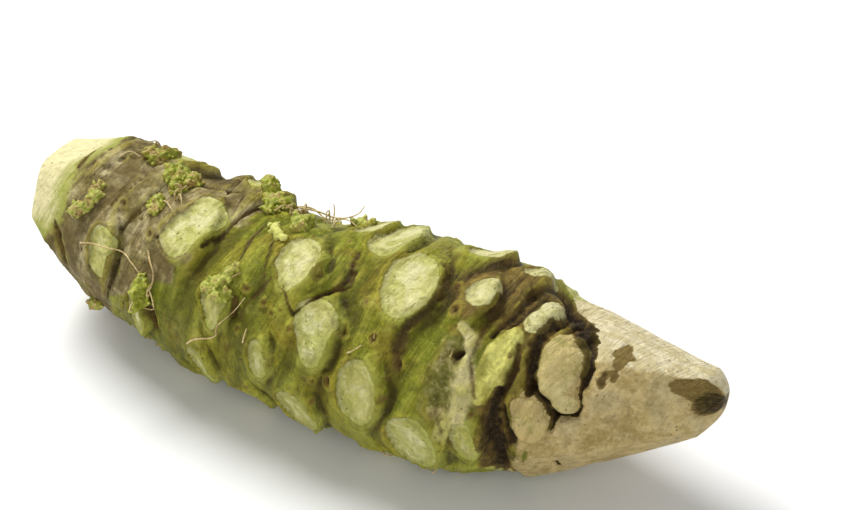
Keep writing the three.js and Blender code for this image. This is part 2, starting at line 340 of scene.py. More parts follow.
# Hollows between leaf bases, cracks by the cone and creases in the skin: each a depth and a line through
# places (x, angle, half width).
hollows = [
    (0.8, ((20.8, 92, 0.6), (21.9, 72, 0.9), (20.6, 61, 1.0), (18.0, 50, 1.1), (17.4, 40, 1.2),
           (18.0, 29, 0.8))),
    (0.45, ((33.6, 92, 0.5), (32.8, 73, 0.6), (31.8, 60, 0.5), (31.5, 42, 0.4), (32.6, 34, 0.5),
            (34.0, 22, 0.5))),
    (1.5, ((36.6, 101, 0.7), (36.0, 82, 0.7), (34.8, 69, 0.6), (33.7, 58, 0.4))),
    (1.6, ((39.0, 103, 0.7), (38.0, 88, 0.7), (37.0, 76, 0.7), (36.0, 66, 0.5))),
    (0.9, ((38.9, 57, 0.5), (39.9, 43, 0.5), (39.1, 33, 0.5), (38.0, 27, 0.5))),
    (2.3, ((37.6, 29, 0.6), (37.0, 20, 1.0), (36.7, 8, 1.5), (37.8, -4, 2.1), (38.2, -22, 1.8),
           (38.0, -45, 1.2))),
    (2.0, ((38.6, 18, 0.6), (40.0, 8, 0.9), (41.2, 0, 0.8))),
    (2.2, ((43.4, 82, 1.1), (42.0, 71, 1.0), (41.7, 60, 0.9), (42.2, 51, 0.9), (42.8, 37, 0.8),
           (43.2, 30, 0.6))),
    (2.4, ((42.8, 36, 0.5), (44.6, 30, 0.5), (46.4, 26, 0.6), (47.4, 20, 0.7), (48.0, 14, 0.7),
           (47.7, 6, 0.4))),
    (2.0, ((47.8, 16, 0.7), (50.0, 15, 0.3))),
    (2.4, ((40.6, 123, 1.3), (44.0, 112, 1.8), (46.0, 98, 2.7), (48.4, 83, 2.6), (50.9, 67, 1.5),
           (51.6, 54, 1.0), (51.5, 42, 0.8), (51.4, 33, 0.6), (52.2, 24, 0.6), (51.6, 17, 0.7),
           (49.6, 16, 0.4))),
    (1.6, ((45.9, -25, 0.4), (47.3, -30, 0.6), (49.7, -26, 0.3))),
    (1.6, ((48.0, -27, 0.4), (48.3, -42, 0.6))),
    (1.0, ((54.0, -51, 0.4), (56.0, -58, 0.5))),
    (1.3, ((-65.0, 66, 0.3), (-64.7, 79, 0.45), (-64.2, 95, 0.2))),
    (1.8, ((-67.0, 20, 0.3), (-65.9, 9, 0.8), (-65.0, -2, 0.8), (-64.5, -14, 0.4))),
    (2.0, ((-39.4, 13, 0.7), (-38.6, 2, 1.0), (-38.0, -9, 0.7))),
    (1.5, ((-18.7, 37, 0.5), (-18.4, 28, 0.6))),
    (0.9, ((-9.3, 54, 0.35), (-7.9, 49, 0.4), (-6.0, 42, 0.3))),
    (0.9, ((-5.3, 40, 0.35), (-2.6, 50, 0.4), (0.4, 57, 0.4), (3.9, 65, 0.3), (3.3, 74, 0.3))),
    (2.4, ((28.6, 43, 1.0), (29.6, 45, 0.6))),
    (0.9, ((-28.8, 57, 0.3), (-26.6, 70, 0.4), (-25.1, 90, 0.4), (-23.5, 103, 0.3))),
    (0.5, ((-20.1, 56, 0.25), (-20.6, 72, 0.4), (-19.6, 89, 0.3))),
    (0.4, ((-14.1, 54, 0.25), (-15.2, 70, 0.35), (-16.4, 82, 0.25))),
    (0.4, ((-17.1, 22, 0.25), (-16.1, 36, 0.35), (-12.3, 56, 0.25))),
    (0.8, ((0.4, 56, 0.25), (2.7, 68, 0.4), (2.0, 87, 0.3))),
    (0.7, ((-53.3, 55, 0.25), (-52.3, 72, 0.35), (-52.4, 91, 0.3))),
    (0.8, ((-48.9, 45, 0.25), (-46.7, 65, 0.35), (-44.5, 80, 0.25))),
    (0.9, ((-37.6, 96, 0.3), (-33.0, 99, 0.4), (-29.0, 106, 0.3))),
]
# The gap also colours each line as dark dry skin, with painted shade on its floor.
gap = np.zeros(count)
carved = np.zeros(count)
for depth, line in hollows:
    near = np.maximum(beside(line) + 0.5 * wobble + 0.3 * grit, 0)
    carved += depth * (0.7 * np.exp(-near ** 2) + 0.3 * np.exp(-(near / 2.6) ** 2))
    gap = np.maximum(gap, min(1, 0.35 + depth / 3.5) * np.exp(-(near / 1.15) ** 2))

# Patches of old brown skin lie deeper than the knife went: x, angle, eight reaches, depth, darkness.
old_patches = (
    (56.4, 72, (2.4, 2.0, 3.8, 2.4, 2.2, 1.6, 3.6, 1.8), 0.5, 0.45),
    (54.6, 47, (0.8, 1.2, 2.0, 1.2, 1.0, 1.3, 1.8, 1.3), 0.7, 0.8),
    (56.1, 52, (0.9, 0.9, 1.2, 1.2, 0.9, 0.7, 1.2, 1.1), 0.5, 0.6),
    (69.8, 54, (4.8, 3.2, 2.4, 2.8, 4.2, 2.4, 2.2, 4.2), 0.7, 0.6),
    (72.8, 26, (2.6, 2.6, 3.0, 2.8, 2.2, 1.6, 1.6, 2.0), 0.8, 0.9),
)
stain = np.zeros(count)
# Where the knife's cone begins, from angle to angle.
cone_angles = (-180, -60, -45, -20, 0, 22, 36, 42, 58, 70, 85, 100, 112, 120, 129, 140, 180)
cone_places = (40, 37, 37, 38, 39.2, 40, 41.5, 43.2, 43.8, 48, 49.5, 47.5, 45, 43, 42, 40.5, 40)
knife, browned = pared(foot_strokes, x, angle)
crown_knife, crown_browned = pared(crown_strokes, x, angle)
browned = np.where(crown_knife < knife, crown_browned, browned)
cone_start = np.interp(angle, cone_angles, cone_places) + 0.8 * wobble
crown_knife += 4.5 * smooth(cone_start - x, -0.6, 1.4)
knife = np.minimum(knife, crown_knife) + 0.10 * wobble + 0.25 * lumps
# The tip is rounded off: how far the rounding spreads in its first millimetre, and how it flares.
tip_bluntness = 2.9
tip_flare = 0.06
from_tip = np.maximum(half_length - x, 0)
knife = np.minimum(knife, 1 + tip_bluntness * np.sqrt(from_tip) + tip_flare * from_tip ** 2)
skin -= carved
knife -= carved * smooth(x, 37, 40)
for patch_x, patch_angle, reach, depth, darkness in old_patches:
    along = x - patch_x
    round_it = np.radians(turned(angle - patch_angle)) * np.minimum(outline, knife)
    patch = smooth(within(reach, along, round_it) + 0.3 * wobble + 0.35 * grit, -0.25, 0.35)
    stain = np.maximum(stain, darkness * patch)
    level = np.minimum(skin, knife) - 0.35 * patch * depth + 0.25 * patch * grit
    skin = np.where(patch > 0.5, np.minimum(skin, level), skin)

skin += 0.38 * np.exp(-((scar + 0.55) / 0.5) ** 2) * (1 - smooth(gap, 0.1, 0.4)) * (1 - 0.8 * creased)
on_scar = smooth(scar, -0.25, 0.2) * (1 - smooth(gap, 0.1, 0.4))
scar_plane = scar_plane - 0.35 * smooth(scar, 0.2, 2.2) + 0.20 * wobble + 0.12 * grit
skin = skin * (1 - on_scar) + np.minimum(skin, scar_plane) * on_scar

# Small knots left by rootlets, a low rim round a pit: place along, angle round, size.
knots = [
    (-2.7, 64, 1.5), (2.1, 78, 0.9), (4.6, 10, 1.3), (5.5, 40, 1.8), (8.6, 58, 1.0), (12.5, 41, 1.1),
    (18.4, 31, 1.1), (16.9, 13, 1.1), (-5.0, 32, 0.9), (-9.8, 37, 0.8), (-8.4, 11, 1.6), (19.8, 88, 1.2),
    (21.8, 71, 1.2), (23.6, 80, 1.1), (25.7, 66, 1.3), (-7.9, 40, 0.6), (-0.3, 8, 0.8), (-50.5, 61, 1.0),
    (-41.6, 51, 0.9), (-17.0, 45, 0.8), (38.3, 49, 0.8),
]
scattered_knots = 130
chance = random.Random(11)
for _ in range(scattered_knots):
    knots.append((chance.uniform(-60, 36), chance.uniform(-180, 180), chance.uniform(0.35, 0.85)))
pore = np.zeros(count)
for knot_x, knot_angle, size in knots:
    along, round_it = around(knot_x, knot_angle)
    near = np.hypot(along, 0.75 * round_it) / size + 0.2 * grit
    skin += size * (0.52 * np.exp(-(near - 0.8) ** 2 * 5) - 0.45 * np.exp(-near * near * 6)) * (1 - on_scar)
    pore = np.maximum(pore, np.exp(-near * near * 1.6) * (1 - on_scar))

# The knife takes whatever stands outside its strokes.
cut_depth = skin - knife - 5.5 * smooth(gap, 0.25, 0.9)
radius = np.minimum(skin, knife)
for swell_x, swell_angle, half_long, half_wide, height in swellings:
    along, round_it = around(swell_x, swell_angle)
    radius += height * np.exp(-(along / half_long) ** 2 - (round_it / half_wide) ** 2)
radius = np.maximum(radius, 0.0) * np.clip(ring / foot_face_rings, 0, 1)
radius[ring == faces_along] = 0
place = np.stack([
    x,
    axis_y(x) - radius * np.cos(radians),
    np.maximum(axis_z(x) + radius * np.sin(radians), 0),
], axis=1)
rhizome.data.vertices.foreach_set("co", (place * MM).ravel())

# Hollows and valleys are where the skin lies under the average of its near and of its wider surroundings.
near_faces = 3
wide_faces = 12
order = np.lexsort((angle, ring))
body = order[(ring[order] > 0) & (ring[order] < faces_along)].reshape(faces_along - 1, faces_round)


def averaged(grid, reach):
    """Each value's average with its neighbours, as many faces away as the reach, each way."""
    total = grid.copy()
    for step in range(1, reach + 1):
        total += np.roll(grid, step, axis=1) + np.roll(grid, -step, axis=1)
    total /= 2 * reach + 1
    rows = np.pad(total, ((reach, reach), (0, 0)), mode="edge")
    return sum(rows[k:k + grid.shape[0]] for k in range(2 * reach + 1)) / (2 * reach + 1)


# Painted shade darkens the old bark over the upper back, and the same mark darkens it at random in
# patches elsewhere.
shade = smooth(angle, 88, 118) * (1 - smooth(angle, 165, 180)) + 0.3 * smooth(wobble, 0, 0.8)
# Both are kept to paint shade into the skin's hollows and valleys, and light onto its crests.
hollow = np.zeros(count)
hollow[body] = averaged(radius[body], near_faces) - radius[body]
valley = np.zeros(count)
valley[body] = averaged(radius[body], wide_faces) - radius[body]
valley *= 1 - 0.85 * smooth(scuffed, -1, 2)
deepest_cut = 6
cut_depth = np.clip(cut_depth, -2, deepest_cut)
cut_depth[ring < foot_face_rings] = deepest_cut


def store(piece, **layers):
    """Keeps numbers at each of a piece's points, for its material to read."""
    for name, values in layers.items():
        layer = piece.data.attributes.new(name, "FLOAT", "POINT")
        layer.data.foreach_set("value", values.astype(np.float32))


store(rhizome, scar=scar, tone=tone, dry=dry, cut_depth=cut_depth, browned=browned, bark=bark, hollow=hollow,
      valley=valley, gap=gap, pore=pore, creased=creased, scuffed=scuffed, grain_x=grain_x, stain=stain,
      shade=shade, crest_line=crest_line, folds=folds, bulge=bulge)

bpy.ops.object.mode_set(mode="EDIT")
bpy.ops.mesh.select_all(action="SELECT")
bpy.ops.mesh.normals_make_consistent(inside=False)
bpy.ops.object.mode_set(mode="OBJECT")
bpy.ops.object.shade_smooth()


def paint(red, green, blue):
    """A colour given as it looks on a screen, 0 to 255, as the linear colour that a shader takes."""
    linear = [((c / 255 + 0.055) / 1.055) ** 2.4 if c > 10 else c / 255 / 12.92 for c in (red, green, blue)]
    return (*linear, 1.0)


def add_node(tree, kind, inputs=None, **settings):
    """A node with its settings, its inputs given by name as values or as sockets to link."""
    node = tree.nodes.new("ShaderNode" + kind)
    for name, value in settings.items():
        setattr(node, name, value)
    for name, value in (inputs or {}).items():
        socket = node.inputs[name]
        if isinstance(value, bpy.types.NodeSocket):
            tree.links.new(value, socket)
        else:
            socket.default_value = value
    return node


def math_of(tree, operation, first, second=0.0, third=0.0):
    """A sum, product or the like of numbers and sockets."""
    return add_node(tree, "Math", {0: first, 1: second, 2: third}, operation=operation).outputs[0]


def mask_of(tree, value, from_edge, to_edge, at_from=0.0, at_to=1.0):
    """A smooth step from one number to another, as a value goes from edge to edge."""
    inputs = {"Value": value, "From Min": from_edge, "From Max": to_edge, "To Min": at_from, "To Max": at_to}
    return add_node(tree, "MapRange", inputs, interpolation_type="SMOOTHSTEP").outputs["Result"]


def together(tree, *steps, strength=1.0):
    """A mask for where every step holds. Each has a value and its two edges, as mask_of takes them."""
    masks = [mask_of(tree, *step) for step in steps]
    product = masks[0]
    for mask in masks[1:]:
        product = math_of(tree, "MULTIPLY", product, mask)
    return product if strength == 1.0 else math_of(tree, "MULTIPLY", product, strength)


def mixed(tree, mask, under, over):
    """One colour over another, as strongly as the mask says. A colour is a socket or as paint takes it."""
    under, over = (paint(*side) if isinstance(side, tuple) else side for side in (under, over))
    return add_node(tree, "Mix", {0: mask, 6: under, 7: over}, data_type="RGBA").outputs[2]


def turning(tree, value, from_edge, to_edge, first, second):
    """A colour that turns from the first to the second, as a value goes from edge to edge."""
    return mixed(tree, mask_of(tree, value, from_edge, to_edge), first, second)


def layered(tree, colour, *layers):
    """A colour under others. Each has a value, two edges for it, the strength it then has, and a colour."""
    for value, from_edge, to_edge, strength, over in layers:
        colour = mixed(tree, mask_of(tree, value, from_edge, to_edge, 0, strength), colour, over)
    return colour


def noise_of(tree, place_socket, size, detail=3.0, roughness=0.55, distortion=0.0):
    """Soft noise with lumps of the given size in millimetres."""
    inputs = {"Vector": place_socket, "Scale": 1 / (size * MM), "Detail": detail, "Roughness": roughness,
              "Distortion": distortion}
    return add_node(tree, "TexNoise", inputs).outputs["Fac"]


def reading(tree, name):
    """The numbers stored at a piece's points under a name."""
    return add_node(tree, "Attribute", attribute_name=name).outputs["Fac"]


def frayed(tree, value, by, amount):
    """A value whose edges are frayed by noise."""
    return math_of(tree, "ADD", value, math_of(tree, "MULTIPLY_ADD", by, 2 * amount, -amount))


# Every skin here is uneven in colour. The group lightens and darkens a colour in soft specks of one size.
uneven = bpy.data.node_groups.new("uneven_colour", "ShaderNodeTree")
for name, kind in (("Colour", "Color"), ("Place", "Vector"), ("Fineness", "Float"), ("Dark", "Float"),
                   ("Light", "Float")):
    uneven.interface.new_socket(name=name, in_out="INPUT", socket_type="NodeSocket" + kind)
uneven.interface.new_socket(name="Colour", in_out="OUTPUT", socket_type="NodeSocketColor")
given = uneven.nodes.new("NodeGroupInput").outputs
soft_specks = add_node(uneven, "TexNoise", {
    "Vector": given["Place"], "Scale": given["Fineness"], "Detail": 6.0, "Roughness": 0.68,
    "Distortion": 0.3}).outputs["Fac"]
brightness = mask_of(uneven, soft_specks, 0.34, 0.66, given["Dark"], given["Light"])
changed = add_node(uneven, "HueSaturation", {"Color": given["Colour"], "Value": brightness}).outputs["Color"]
uneven.links.new(changed, uneven.nodes.new("NodeGroupOutput").inputs["Colour"])


def made_uneven(tree, colour, place_socket, size, dark, light):
    """A colour that the group has made uneven, in specks of a size in millimetres."""
    node = tree.nodes.new("ShaderNodeGroup")
    node.node_tree = uneven
    tree.links.new(colour, node.inputs["Colour"])
    tree.links.new(place_socket, node.inputs["Place"])
    node.inputs["Fineness"].default_value = 1 / (size * MM)
    node.inputs["Dark"].default_value = dark
    node.inputs["Light"].default_value = light
    return node.outputs["Colour"]


def new_material(name):
    """A new material, its node tree and its shader."""
    material = bpy.data.materials.new(name)
    material.use_nodes = True
    return material, material.node_tree, material.node_tree.nodes["Principled BSDF"]


skin_material, tree, shader = new_material("root_skin")
here = add_node(tree, "TexCoord").outputs["Object"]
parts = add_node(tree, "SeparateXYZ", {"Vector": here}).outputs
grain_along = reading(tree, "grain_x")


def drawn_round(squeeze):
    """Places for a pattern that is drawn out round the root, by how much it is squeezed along it."""
    along = math_of(tree, "MULTIPLY", grain_along, squeeze * MM)
    return add_node(tree, "CombineXYZ", {"X": along, "Y": parts["Y"], "Z": parts["Z"]}).outputs["Vector"]


fine = noise_of(tree, here, 0.8, 4)
mottle = noise_of(tree, here, 2.0, 6, 0.68, 0.3)
swirl = noise_of(tree, here, 3.0, 4, 0.6, 1.2)
medium = noise_of(tree, here, 4.0, 4)
brownish = noise_of(tree, here, 7.5, 5, 0.6, 0.4)
cloud = noise_of(tree, here, 8, 4)
broad = noise_of(tree, here, 15, 3)
bands = noise_of(tree, drawn_round(3.4), 13, 4, 0.55)
streaks = noise_of(tree, drawn_round(7), 9, 4, 0.6)
threads = noise_of(tree, drawn_round(16), 6, 3, 0.6)
specks = add_node(tree, "TexVoronoi", {"Vector": here, "Scale": 1 / (0.8 * MM)}).outputs["Distance"]
dirt = add_node(tree, "TexVoronoi", {"Vector": here, "Scale": 1 / (1.9 * MM)}).outputs["Distance"]

# Green skin, yellower, darker and browner by turns, with a few streaks that follow the folds, painted
# shade in the fold troughs and painted light on the fold crests.
fold_here = frayed(tree, reading(tree, "folds"), streaks, 0.25)
bulge_here = frayed(tree, reading(tree, "bulge"), medium, 0.5)
green = turning(tree, broad, 0.36, 0.64, (114, 124, 18), (148, 144, 34))
green = layered(
    tree, green,
    (bands, 0.50, 0.66, 0.60, (168, 172, 62)),
    (bands, 0.50, 0.34, 0.55, (94, 92, 14)),
    (streaks, 0.52, 0.68, 0.45, (174, 166, 58)),
    (streaks, 0.46, 0.34, 0.35, (88, 84, 16)),
    (threads, 0.54, 0.68, 0.50, (98, 82, 24)),
    (threads, 0.44, 0.32, 0.40, (180, 174, 70)),
    (fine, 0.56, 0.70, 0.40, (182, 174, 76)),
    (fine, 0.44, 0.30, 0.45, (84, 72, 10)),
    # Painted shade in the fold troughs and painted light on their crests.
    (fold_here, -0.02, -0.34, 0.45, (90, 92, 20)),
    (fold_here, 0.06, 0.36, 0.40, (168, 168, 64)),
    (brownish, 0.52, 0.66, 0.50, (134, 112, 32)),
    (bulge_here, 0.2, 0.8, 0.9, turning(tree, medium, 0.40, 0.58, (196, 190, 90), (228, 224, 124))))
creased_here = math_of(tree, "SUBTRACT", reading(tree, "creased"), reading(tree, "bulge"))
creased_colour = turning(tree, bands, 0.40, 0.60, (66, 48, 18), (136, 114, 52))
green = mixed(tree, creased_here, green, creased_colour)

# Papery grey-brown bark, mottled, with painted shade over the upper back and in the fold troughs.
shaded_colour = turning(tree, medium, 0.40, 0.62, (92, 74, 34), (124, 110, 54))
old = turning(tree, medium, 0.40, 0.62, (144, 128, 82), (190, 177, 132))
old = layered(
    tree, old,
    (streaks, 0.50, 0.62, 0.60, (112, 96, 54)),
    (threads, 0.54, 0.66, 0.50, (98, 82, 44)),
    (brownish, 0.50, 0.62, 0.65, (124, 112, 56)),
    # Painted shade in the fold troughs, and over the upper back.
    (fold_here, 0.0, -0.34, 0.6, (104, 86, 44)),
    (reading(tree, "shade"), 0.25, 0.8, 0.75, shaded_colour))
bark_here = frayed(tree, reading(tree, "bark"), medium, 0.45)
colour = turning(tree, bark_here, 0.38, 0.62, green, old)

# The scuffed leaf base: olive to tan, with dry cream specks.
scuff = turning(tree, brownish, 0.40, 0.62, (126, 124, 54), (160, 144, 88))
scuff = layered(
    tree, scuff,
    (mottle, 0.46, 0.62, 0.6, (190, 174, 124)),
    (fine, 0.56, 0.66, 0.5, (216, 204, 160)),
    (mottle, 0.46, 0.34, 0.5, (116, 96, 48)))
scuff_here = frayed(tree, reading(tree, "scuffed"), medium, 2.0)
colour = layered(tree, colour, (scuff_here, -1.0, 4.0, 0.8, scuff))

# Painted light on the crests, painted shade in the valleys and hollows, a dry cream crest by the cone,
# brown knots, and gaps of dark dry skin with painted shade on their floors.
hollow_here = frayed(tree, reading(tree, "hollow"), fine, 0.10)
crest_here = frayed(tree, reading(tree, "crest_line"), medium, 0.7)
pore_here = frayed(tree, reading(tree, "pore"), fine, 0.3)
gap_here = frayed(tree, reading(tree, "gap"), fine, 0.18)
# Painted shade on the gaps' floors, over dark dry skin.
gap_floor = frayed(tree, gap_here, streaks, 0.35)
colour = layered(
    tree, colour,
    # Painted light on the crests, then painted shade in the valleys.
    (hollow_here, -0.05, -0.35, 0.4, (182, 170, 60)),
    (reading(tree, "valley"), 0.10, 1.0, 0.62, (78, 68, 12)),
    (crest_here, 0.1, 0.7, 0.9, turning(tree, medium, 0.40, 0.60, (222, 210, 150), (196, 188, 108))),
    # Painted shade in the hollows.
    (hollow_here, 0.12, 0.46, 0.66, (64, 52, 16)),
    (pore_here, 0.30, 0.75, 0.7, (134, 108, 54)),
    (pore_here, 0.75, 1.05, 0.7, (72, 54, 22)),
    # Gaps: dark dry skin, with painted shade on their floors.
    (gap_here, 0.10, 0.55, 0.9, turning(tree, bands, 0.40, 0.60, (72, 54, 20), (116, 94, 42))),
    (gap_floor, 0.46, 0.92, 0.95, turning(tree, fine, 0.46, 0.64, (34, 24, 10), (70, 54, 28))))
colour = made_uneven(tree, colour, here, 2.0, 0.76, 1.17)

# Cut leaf scars: cream to green, and tan on the plates by the cone. A pale heart, a green edge, a ring
# of specks where the leaf's fibres ended, and a dry rim on the foot side.
scar_here = frayed(tree, reading(tree, "scar"), fine, 0.25)
tone_read = reading(tree, "tone")
dry_read = reading(tree, "dry")
plate = turning(tree, streaks, 0.40, 0.62, (210, 186, 122), (178, 154, 94))
face = mixed(tree, math_of(tree, "MINIMUM", tone_read, 1.0), (184, 180, 80), (220, 214, 148))
face = turning(tree, tone_read, 1.0, 2.0, face, plate)
face = layered(tree, face, (
    broad, 0.42, 0.60, 0.45, turning(tree, tone_read, 0.8, 1.0, (176, 184, 88), (214, 204, 150))))
heart = together(tree, (scar_here, 0.9, 3.0), (medium, 0.42, 0.62), (tone_read, 1.6, 1.2, 0, 0.75))
face = mixed(tree, heart, face, (230, 224, 172))
green_edge = together(tree, (scar_here, 1.1, 0.2), (tone_read, 1.2, 0.5), strength=0.55)
face = mixed(tree, green_edge, face, (164, 172, 70))
face = layered(
    tree, face,
    (swirl, 0.48, 0.70, 0.6, turning(tree, tone_read, 1.2, 1.8, (222, 218, 158), (198, 178, 118))),
    (swirl, 0.48, 0.34, 0.6, (156, 154, 72)),
    (specks, 0.26, 0.10, 0.3, (132, 124, 58)))
fibre_ends = together(tree, (scar_here, 0.5, 1.0), (scar_here, 2.2, 1.4), (mottle, 0.42, 0.58),
                      (tone_read, 1.6, 1.2, 0, 0.6))
face = mixed(tree, fibre_ends, face, (156, 150, 78))
rim_here = together(tree, (frayed(tree, scar_here, mottle, 0.9), 1.3, 0.3), strength=0.65)
dry_rim = math_of(tree, "MULTIPLY", dry_read, rim_here)
face = mixed(tree, dry_rim, face, turning(tree, mottle, 0.36, 0.64, (192, 188, 136), (140, 130, 78)))

# The raised lip of skin beside each scar is pale green, with a brown line where the cut begins.
lip = together(
    tree, (scar_here, -1.9, -0.5), (dry_read, 0.5, 0.1), (gap_here, 0.35, 0.10),
    (reading(tree, "creased"), 0.6, 0.1), (bark_here, 0.9, 0.3, 0.25, 1), (medium, 0.30, 0.60, 0.2, 0.75))
colour = mixed(tree, lip, colour, (168, 170, 72))
colour = layered(tree, colour, (scar_here, -0.30, -0.08, 0.4, (128, 114, 50)))
scar_mask = together(tree, (scar_here, -0.05, 0.22), (gap_here, 0.5, 0.3))
colour = mixed(tree, scar_mask, colour, face)

# Pared flesh: green just under the skin and cream further in, gone brown in the air on some strokes. The
# tan on the crown's front and lower strokes is partly painted shade.
cut_read = reading(tree, "cut_depth")
fibre_place = add_node(tree, "Mapping", {"Vector": here, "Scale": (0.3, 1.0, 1.0)}).outputs["Vector"]
fibres = noise_of(tree, fibre_place, 1.6, 5, 0.6)
fresh = turning(tree, frayed(tree, cut_read, streaks, 1.6), 0.6, 2.6, (166, 168, 78), (236, 226, 172))
fresh = layered(tree, fresh, (fibres, 0.50, 0.66, 0.4, (206, 198, 134)))
cream = turning(tree, fibres, 0.42, 0.60, (236, 224, 184), (216, 200, 150))
cream = layered(tree, cream, (cloud, 0.52, 0.68, 0.5, (210, 194, 140)))
tan = turning(tree, fibres, 0.42, 0.60, (210, 188, 130), (188, 164, 104))
tan = layered(
    tree, tan,
    (cloud, 0.48, 0.64, 0.60, (196, 180, 134)),
    (cloud, 0.48, 0.34, 0.55, (154, 130, 70)),
    (medium, 0.54, 0.68, 0.50, (150, 126, 72)),
    (fine, 0.56, 0.68, 0.45, (220, 204, 158)),
    (fine, 0.44, 0.32, 0.40, (144, 120, 64)))
# Tan where the flesh has browned, partly painted shade on the crown's front and lower strokes.
dried = turning(tree, frayed(tree, reading(tree, "browned"), cloud, 0.35), 0.25, 0.65, cream, tan)
flesh = mixed(tree, mask_of(tree, parts["X"], 0.0, 0.02), fresh, dried)
pared_here = frayed(tree, frayed(tree, cut_read, fine, 0.3), streaks, 0.9)
pared_here = math_of(tree, "SUBTRACT", pared_here, math_of(tree, "MULTIPLY", scar_mask, 3.0))
colour = turning(tree, pared_here, -0.25, 0.35, colour, flesh)
colour = made_uneven(tree, colour, here, 1.2, 0.91, 1.07)

# Specks of soil, and old brown skin that the knife didn't reach.
dirt_here = together(tree, (dirt, 0.20, 0.08), (broad, 0.42, 0.55), strength=0.55)
colour = mixed(tree, dirt_here, colour, (92, 72, 34))
stain_read = reading(tree, "stain")
stain_colour = turning(tree, stain_read, 0.5, 0.95, (138, 114, 62), (58, 42, 18))
stain_colour = layered(tree, stain_colour, (fine, 0.44, 0.60, 0.5, (112, 90, 46)))
colour = layered(tree, colour, (frayed(tree, stain_read, fine, 0.12), 0.15, 0.42, 0.92, stain_colour))
tree.links.new(colour, shader.inputs["Base Color"])

rough = mask_of(tree, bark_here, 0.35, 0.65, 0.50, 0.75)
tree.links.new(frayed(tree, rough, fine, 0.08), shader.inputs["Roughness"])
relief = math_of(tree, "MULTIPLY_ADD", threads, 0.8, math_of(tree, "MULTIPLY", fine, 0.5))
relief = math_of(tree, "MULTIPLY_ADD", streaks, 0.9, relief)
relief = math_of(tree, "MULTIPLY_ADD", mottle, 1.8, relief)
bump = add_node(tree, "Bump", {"Strength": 0.85, "Distance": 0.0009, "Height": relief})
tree.links.new(bump.outputs["Normal"], shader.inputs["Normal"])
shader.inputs["Specular IOR Level"].default_value = 0.2
rhizome.data.materials.append(skin_material)
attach(rhizome, "root")
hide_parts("rhizome")


# ---------------------------------------------------------------- the side buds
# Buds that never grew out sit in the old leaf axils: tangled heaps of warts and pointed scales, bright
# green at their tips, brown in patches, and with painted shade between. Each is small balls, some drawn to
# a point, on the bud's own core, melted into one.

# How each bud looks: wart radius in mm and how many, pointed scales' radius and how many, how brown,
# how pale, and how often it is smoothed.
bud_looks = {
    "foot_bud": (0.38, 46, 0.65, 7, 0.58, 0.50, 2),
    "ridge_bud": (0.42, 60, 0.70, 9, 0.60, 0.20, 2),
    "mossy_bud": (0.38, 170, 0.75, 16, 0.50, 0.10, 1),
    "pale_bud": (0.40, 18, 0.65, 6, 0.45, 0.35, 2),
    "axil_bud": (0.40, 30, 0.70, 7, 0.35, 0.20, 2),
    "scar_bud": (0.42, 40, 0.60, 7, 0.42, 0.42, 2),
    "green_bud": (0.36, 120, 0.85, 11, 0.42, 0.22, 1),
    "round_bud": (0.32, 26, 0.80, 5, 0.46, 0.40, 7),
    "horn_bud": (0.50, 5, 0.60, 1, 0.20, 0.80, 16),
    "far_bud": (0.36, 18, 0.80, 4, 0.35, 0.45, 4),
    "low_bud": (0.38, 18, 0.50, 2, 0.50, 0.10, 3),
    "back_bud": (0.40, 70, 0.80, 8, 0.45, 0.20, 2),
    "back_foot_bud": (0.42, 44, 0.60, 5, 0.65, 0.05, 2),
}
bud_grain = 0.15  # of the cells in which a bud's balls melt together
wart_depth = 0.25  # how deep in the core's face the middle of a wart sits
smoothing_rounds = 9


def tree_of(thing):
    """A search tree of a piece's faces, for finding where a straight line meets them."""
    corners = [thing.matrix_world @ vertex.co for vertex in thing.data.vertices]
    return BVHTree.FromPolygons(corners, [tuple(face.vertices) for face in thing.data.polygons])


plain_skin = tree_of(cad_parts["rhizome"])
fine_skin = tree_of(rhizome)


def axis_at(x):
    """The middle of the rhizome at a place along it, in metres."""
    return Vector((x, float(axis_y(x / MM)) * MM, float(axis_z(x / MM)) * MM))


def on_fine_skin(point, extra=0.0):
    """A point that stands on the plain CAD root, moved out or in to stand as high on the finished skin."""
    axis = axis_at(point.x)
    away = point - axis
    height = away.length
    away.normalize()
    plain_hit = plain_skin.ray_cast(axis, away)[0]
    fine_hit = fine_skin.ray_cast(axis, away)[0]
    if plain_hit and fine_hit:
        height += (fine_hit - axis).length - (plain_hit - axis).length
    return axis + away * (height + extra)


bpy.ops.object.select_all(action="DESELECT")
bpy.ops.mesh.primitive_ico_sphere_add(subdivisions=2, radius=1)
scale_ball = bpy.context.object
ball_places = [vertex.co.copy() for vertex in scale_ball.data.vertices]
ball_faces = [tuple(face.vertices) for face in scale_ball.data.polygons]
bpy.data.objects.remove(scale_ball)

bud_material, tree, shader = new_material("bud_skin")
here = add_node(tree, "TexCoord").outputs["Object"]
fine = noise_of(tree, here, 0.5, 3)
patchy = noise_of(tree, here, 1.8, 3)
brown_read = frayed(tree, reading(tree, "brown"), patchy, 0.9)
pale_read = frayed(tree, reading(tree, "pale"), patchy, 0.5)
tip_read = reading(tree, "tip")
brown_colour = turning(tree, fine, 0.42, 0.60, (116, 92, 38), (170, 146, 80))
tip_colour = turning(tree, brown_read, 0.45, 0.75, (202, 206, 96), (206, 186, 122))
colour = turning(tree, patchy, 0.36, 0.62, (120, 126, 26), (162, 166, 54))
colour = turning(tree, pale_read, 0.25, 0.7, colour, (194, 194, 104))
colour = turning(tree, brown_read, 0.45, 0.75, colour, brown_colour)
